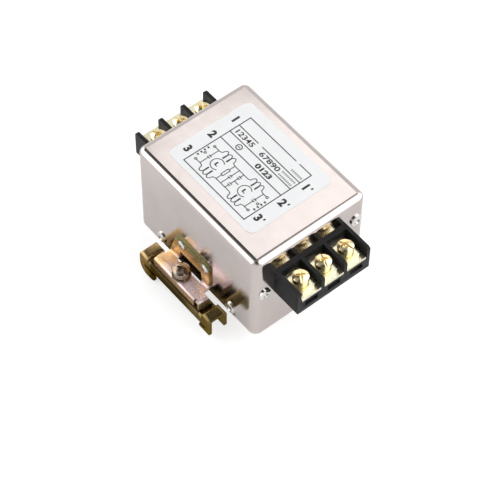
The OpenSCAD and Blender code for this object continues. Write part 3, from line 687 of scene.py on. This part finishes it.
# Half a capacitor plate and half the slit between two plates
HALF_PLATE = 0.75
HALF_SLIT = 0.45
ACROSS_CAPACITORS_X = (-14.75, -2.3, 11.9)
# The two capacitors from the wires to the middle, and where the stub from there ends
EARTH_CAPACITORS_X = 0.3
EARTH_STUB_X = 2.6
RESISTOR_X = -5.0
RESISTOR_HALF = (0.6, 1.8)

# Digits that stand in for the words, as text, middle, boldness and width
ROW_TEXT_H = 2.4
ROW_TEXTS = {
    "row_numbers_left": ("12345", (-13.05, 8.1), 0.02, 9.8),
    "row_numbers_right": ("67890", (1.5, 8.1), 0.02, 11.0),
    "row_numbers_bold": ("0123", (3.55, 3.3), 0.045, 8.6),
}

# Pole marks at each end, and the stroke beside those of the load end, from the mark's middle
MARK_H = 3.8
MARK_BOLD = 0.05
MARKS_IN = ((-22.75, 11.2), (-22.6, -0.25), (-23.0, -11.9))
MARKS_OUT = ((19.3, 11.0), (19.4, -0.5), (19.1, -12.0))
PRIME_TOP = (2.3, 1.7)
PRIME_FOOT = (2.1, 0.7)

# How far the strokes' middle lies above the label's face
PRINT_LIFT = 0.005


def print_frame(ink):
    """Border and rows, with the two short gaps that the print leaves."""
    x0, x1 = FRAME_X
    y0, y1 = FRAME_Y
    gap_start, gap_end = BORDER_GAP_X
    ink.ribbon([(gap_start, y1), (x0, y1), (x0, y0), (x1, y0), (x1, y1), (gap_end, y1)], FRAME_LINE)
    ink.line(x0, ROW_Y[0], ROW_GAP_X[0], ROW_Y[0], FRAME_LINE)
    ink.line(ROW_GAP_X[1], ROW_Y[0], x1, ROW_Y[0], FRAME_LINE)
    for y in ROW_Y[1:]:
        ink.line(x0, y, x1, y, FRAME_LINE)


def print_winding(ink, x0, x1, wire_y, way):
    """A row of half turns that stand off the wire in the way given, with a bold dash between each two."""
    turn_r = (x1 - x0) / (2 * CHOKE_TURNS + 2)
    steps = 8
    spots = [(x0, wire_y)]
    for turn in range(CHOKE_TURNS):
        centre_x = x0 + turn_r * (2 + 2 * turn)
        for step in range(steps + 1):
            angle = math.pi * step / steps
            y = wire_y + way * (TURN_FOOT + TURN_RISE * math.sin(angle))
            spots.append((centre_x - turn_r * math.cos(angle), y))
    spots.append((x1, wire_y))
    ink.ribbon(spots, THIN_LINE)
    for turn in range(CHOKE_TURNS - 1):
        x = x0 + turn_r * (3 + 2 * turn)
        ink.line(x, wire_y + way * TURN_DASH[0], x, wire_y + way * TURN_DASH[1], BOLD_LINE)


def print_choke(ink, x0, x1, ring_x):
    """Two windings that face away from an open ring between them, with an angle mark in the ring."""
    print_winding(ink, x0, x1, WIRE_Y[0], 1)
    print_winding(ink, x0, x1, WIRE_Y[1], -1)
    ink.arc((ring_x, MIDDLE_Y), RING_R, *RING_ENDS, THIN_LINE)
    mark_x = ring_x + ANGLE_TOP[0]
    foot_y = MIDDLE_Y + ANGLE_FOOT_Y
    ink.line(mark_x, MIDDLE_Y + ANGLE_TOP[1], mark_x, foot_y, BOLD_LINE)
    ink.line(ring_x + ANGLE_FOOT_X[0], foot_y, ring_x + ANGLE_FOOT_X[1], foot_y, THIN_LINE)


def print_capacitor(ink, x, y_top, y_bottom):
    """Two short plates across an upright wire."""
    middle = (y_top + y_bottom) / 2
    for end_y, plate_y in ((y_top, middle + HALF_SLIT), (y_bottom, middle - HALF_SLIT)):
        ink.line(x, end_y, x, plate_y, THIN_LINE)
        ink.line(x - HALF_PLATE, plate_y, x + HALF_PLATE, plate_y, FRAME_LINE)


def print_resistor(ink):
    """An upright box on a wire from one line to the other."""
    x = RESISTOR_X
    half_wide, half_high = RESISTOR_HALF
    top, bottom = MIDDLE_Y + half_high, MIDDLE_Y - half_high
    left, right = x - half_wide, x + half_wide
    ink.line(x, WIRE_Y[0], x, top, THIN_LINE)
    ink.line(x, WIRE_Y[1], x, bottom, THIN_LINE)
    ink.ribbon([(left, top), (right, top), (right, bottom), (left, bottom)], THIN_LINE, closed=True)


def print_schematic(ink):
    """The circuit: wires, chokes, capacitors across the wires and to the middle, and a resistor."""
    (first_start, first_end, _), (second_start, second_end, _) = CHOKES_X
    for y in WIRE_Y:
        ink.line(WIRE_X[0] + TERMINAL_R, y, first_start, y, THIN_LINE)
        ink.line(first_end, y, second_start, y, THIN_LINE)
        ink.line(second_end, y, WIRE_X[1] - TERMINAL_R, y, THIN_LINE)
    for y in (*WIRE_Y, MIDDLE_Y):
        for x in WIRE_X:
            ink.circle((x, y), TERMINAL_R, THIN_LINE, steps=14)
    for x0, x1, ring_x in CHOKES_X:
        print_choke(ink, x0, x1, ring_x)
    for x in ACROSS_CAPACITORS_X:
        print_capacitor(ink, x, *WIRE_Y)
    print_resistor(ink)
    x = EARTH_CAPACITORS_X
    print_capacitor(ink, x, WIRE_Y[0], MIDDLE_Y)
    print_capacitor(ink, x, MIDDLE_Y, WIRE_Y[1])
    ink.line(x, MIDDLE_Y, EARTH_STUB_X, MIDDLE_Y, THIN_LINE)


def print_small_marks(ink):
    """Rows of short strokes where the small type stands, and a circle with a bar."""
    for y in (8.9, 7.0):
        ink.strokes(first=(8.3, y), step=(0.85, 0), count=9, half=(0, 0.45), width=THIN_LINE)
    ink.strokes(first=(9.8, 12.1), step=(0.9, 0), count=7, half=(0, 0.5), width=THIN_LINE)
    for x in (-18.5, 15.2):
        ink.strokes(first=(x, -5.6), step=(0, -1.7), count=4, half=(0.5, 0), width=BOLD_LINE)
    mark_x, mark_y = -11.2, 3.5
    mark_r = 1.25
    half_bar = 0.7
    ink.circle((mark_x, mark_y), mark_r, FRAME_LINE, steps=28)
    ink.line(mark_x - half_bar, mark_y, mark_x + half_bar, mark_y, FRAME_LINE)


def print_label():
    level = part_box("rating_label")[1].z / MM + PRINT_LIFT
    material = print_ink("print_ink")
    ink = Print(level)
    print_frame(ink)
    print_schematic(ink)
    print_small_marks(ink)
    ink.finish("label_lines", material)
    for pole, (mark_in, mark_out) in enumerate(zip(MARKS_IN, MARKS_OUT), 1):
        number(f"pole_mark_in_{pole}", str(pole), mark_in, MARK_H, MARK_BOLD, level, material)
        number(f"pole_mark_out_{pole}", str(pole), mark_out, MARK_H, MARK_BOLD, level, material)
        x, y = mark_out
        prime = Print(level)
        prime.line(x + PRIME_TOP[0], y + PRIME_TOP[1], x + PRIME_FOOT[0], y + PRIME_FOOT[1], BOLD_LINE)
        prime.finish(f"pole_prime_{pole}", material)
    for name, (text, middle, bold, width) in ROW_TEXTS.items():
        number(name, text, middle, ROW_TEXT_H, bold, level, material, width)


# Screw threads, in millimetres

THREAD_CORE_R = 1.95
THREAD_CREST_R = 2.07
THREAD_PITCH = 0.7
# Half the ridge's height at its foot and at its crest, and how deep its foot is sunk in the shank
THREAD_FOOT = THREAD_PITCH * 0.42
THREAD_CREST = THREAD_FOOT * 0.15
THREAD_SUNK = 0.1
# How far above the screw's tip the thread starts, and how far below the nut plate it ends
TIP_LENGTH = 0.8
NUT_GAP = 0.3


def thread(name, x, y, bottom, top, material):
    """A closed helical ridge round a clamp screw's shank."""
    per_turn = 20
    steps = round((top - bottom) / THREAD_PITCH * per_turn)
    foot_r = THREAD_CORE_R - THREAD_SUNK
    profile = (
        (foot_r, -THREAD_FOOT),
        (THREAD_CREST_R, -THREAD_CREST),
        (THREAD_CREST_R, THREAD_CREST),
        (foot_r, THREAD_FOOT),
    )
    form = bmesh.new()
    rings = []
    for i in range(steps + 1):
        angle = 2 * math.pi * i / per_turn
        z = bottom + THREAD_PITCH * i / per_turn
        ring = []
        for r, rise in profile:
            spot = Vector((x + r * math.cos(angle), y + r * math.sin(angle), z + rise))
            ring.append(form.verts.new(spot * MM))
        rings.append(ring)
    join_rings(form, rings)
    add_piece(name, closed_mesh_of(form, name), BODY, material)


def clamp_threads(finishes):
    """The thread shows under each clip, below the nut plate."""
    for side in ("front", "back"):
        low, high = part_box(f"{side}_clamp_screw")
        middle = (low + high) / 2 / MM
        bottom = low.z / MM + TIP_LENGTH
        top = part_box(f"{side}_nut_plate")[0].z / MM - NUT_GAP
        thread(f"{side}_clamp_thread", middle.x, middle.y, bottom, top, finishes["clamp_steel"])


# Floor and light

WHITE = (1, 1, 1, 1)
PAPER = (0.62, 0.62, 0.62, 1)
FLOOR_HALF = 3.0
# What the floor adds to its paper in mirrors and glass, and for the camera, where it comes out white
FLOOR_GLOW = (0.31, 0.62)

# The studio's brightness fades as a direction turns to the ceiling or to one of two dark patches. Each has
# the direction of its middle, the cosines where the fade starts and ends, and the brightness before and
# after it.
CEILING = ((0, 0, 1), (0.66, 0.86), (0.80, 0.36))
DARK_PATCHES = (
    ((0.50, -0.41, 0.76), (0.80, 0.92), (1.0, 0.20)),
    ((-0.46, 0.08, 0.88), (0.90, 0.97), (1.0, 0.26)),
)

# Each lamp's azimuth, elevation, half its width and half its height, in degrees as seen from the object, and
# its brightness
LAMPS = {
    "over_top": (136, 56, 8, 6, 1.32),
    "left": (218, 25, 38, 26, 1.44),
    "right": (50, 34, 40, 36, 1.48),
}
LAMP_DISTANCE = 1.2


def make_floor():
    """Pale paper with a glow that the camera and mirrors see, and that lights nothing."""
    half = FLOOR_HALF
    mesh = bpy.data.meshes.new("floor")
    corners = [(-half, -half, 0), (half, -half, 0), (half, half, 0), (-half, half, 0)]
    mesh.from_pydata(corners, [], [(0, 1, 2, 3)])
    floor = bpy.data.objects.new("floor", mesh)
    bpy.context.scene.collection.objects.link(floor)
    material = bpy.data.materials.new("floor")
    material.use_nodes = True
    nodes = Nodes(material.node_tree, "ShaderNodeOutputMaterial")
    ray = nodes.add("ShaderNodeLightPath").outputs
    paper = nodes.add("ShaderNodeBsdfDiffuse")
    paper.inputs["Color"].default_value = PAPER
    glow = nodes.add("ShaderNodeEmission")
    glow.inputs["Color"].default_value = WHITE
    nodes.link(nodes.spread(ray["Is Camera Ray"], *FLOOR_GLOW, 0.0, 1.0), glow.inputs["Strength"])
    both = nodes.add("ShaderNodeAddShader")
    nodes.link(paper.outputs[0], both.inputs[0])
    nodes.link(glow.outputs[0], both.inputs[1])
    mirrored = nodes.combine("MAXIMUM", ray["Is Glossy Ray"], ray["Is Transmission Ray"])
    shown = nodes.combine("MAXIMUM", ray["Is Camera Ray"], mirrored)
    nodes.show(nodes.mix_shaders(shown, paper.outputs[0], both.outputs[0]))
    mesh.materials.append(material)


def make_world():
    """White for the camera. Light and mirrors get a pale horizon, a dimmer ceiling and two dark patches."""
    world = bpy.data.worlds.new("studio")
    bpy.context.scene.world = world
    world.use_nodes = True
    nodes = Nodes(world.node_tree, "ShaderNodeOutputWorld")
    way = nodes.add("ShaderNodeTexCoord").outputs["Generated"]

    def fade(middle, cosines, levels):
        """Brightness that goes from one level to the other as a direction turns to the middle."""
        cosine = nodes.add("ShaderNodeVectorMath", operation="DOT_PRODUCT")
        cosine.inputs[1].default_value = middle
        nodes.link(way, cosine.inputs[0])
        return nodes.spread(cosine.outputs["Value"], *levels, *cosines, "SMOOTHSTEP")

    strength = fade(*CEILING)
    for patch in DARK_PATCHES:
        strength = nodes.combine("MULTIPLY", strength, fade(*patch))
    studio = nodes.add("ShaderNodeBackground")
    studio.inputs["Color"].default_value = WHITE
    nodes.link(strength, studio.inputs["Strength"])
    backdrop = nodes.add("ShaderNodeBackground")
    backdrop.inputs["Color"].default_value = WHITE
    backdrop.inputs["Strength"].default_value = 1.0
    seen = nodes.add("ShaderNodeLightPath").outputs["Is Camera Ray"]
    nodes.show(nodes.mix_shaders(seen, studio.outputs[0], backdrop.outputs[0]))


def softbox(name, azimuth, elevation, half_wide, half_high, brightness):
    """A lamp that faces the object. Its power goes with its area, so it looks as bright at any size."""
    level, turn = math.radians(elevation), math.radians(azimuth)
    way = Vector((math.cos(level) * math.cos(turn), math.cos(level) * math.sin(turn), math.sin(level)))
    data = bpy.data.lights.new(name, "AREA")
    data.shape = "RECTANGLE"
    data.size = 2 * LAMP_DISTANCE * math.tan(math.radians(half_wide))
    data.size_y = 2 * LAMP_DISTANCE * math.tan(math.radians(half_high))
    data.energy = brightness * math.pi * data.size * data.size_y
    lamp = bpy.data.objects.new(name, data)
    lamp.location = way * LAMP_DISTANCE
    lamp.rotation_mode = "QUATERNION"
    lamp.rotation_quaternion = way.to_track_quat("Z", "Y")
    bpy.context.scene.collection.objects.link(lamp)


def make_light():
    for name, values in LAMPS.items():
        softbox(name, *values)


make_camera()
make_world()
make_light()
make_floor()
finishes = make_finishes()
dress_nodes(finishes)
drawn_can(finishes)
soften_edges(finishes)
print_label()
clamp_threads(finishes)
bpy.context.scene.view_settings.view_transform = "Standard"
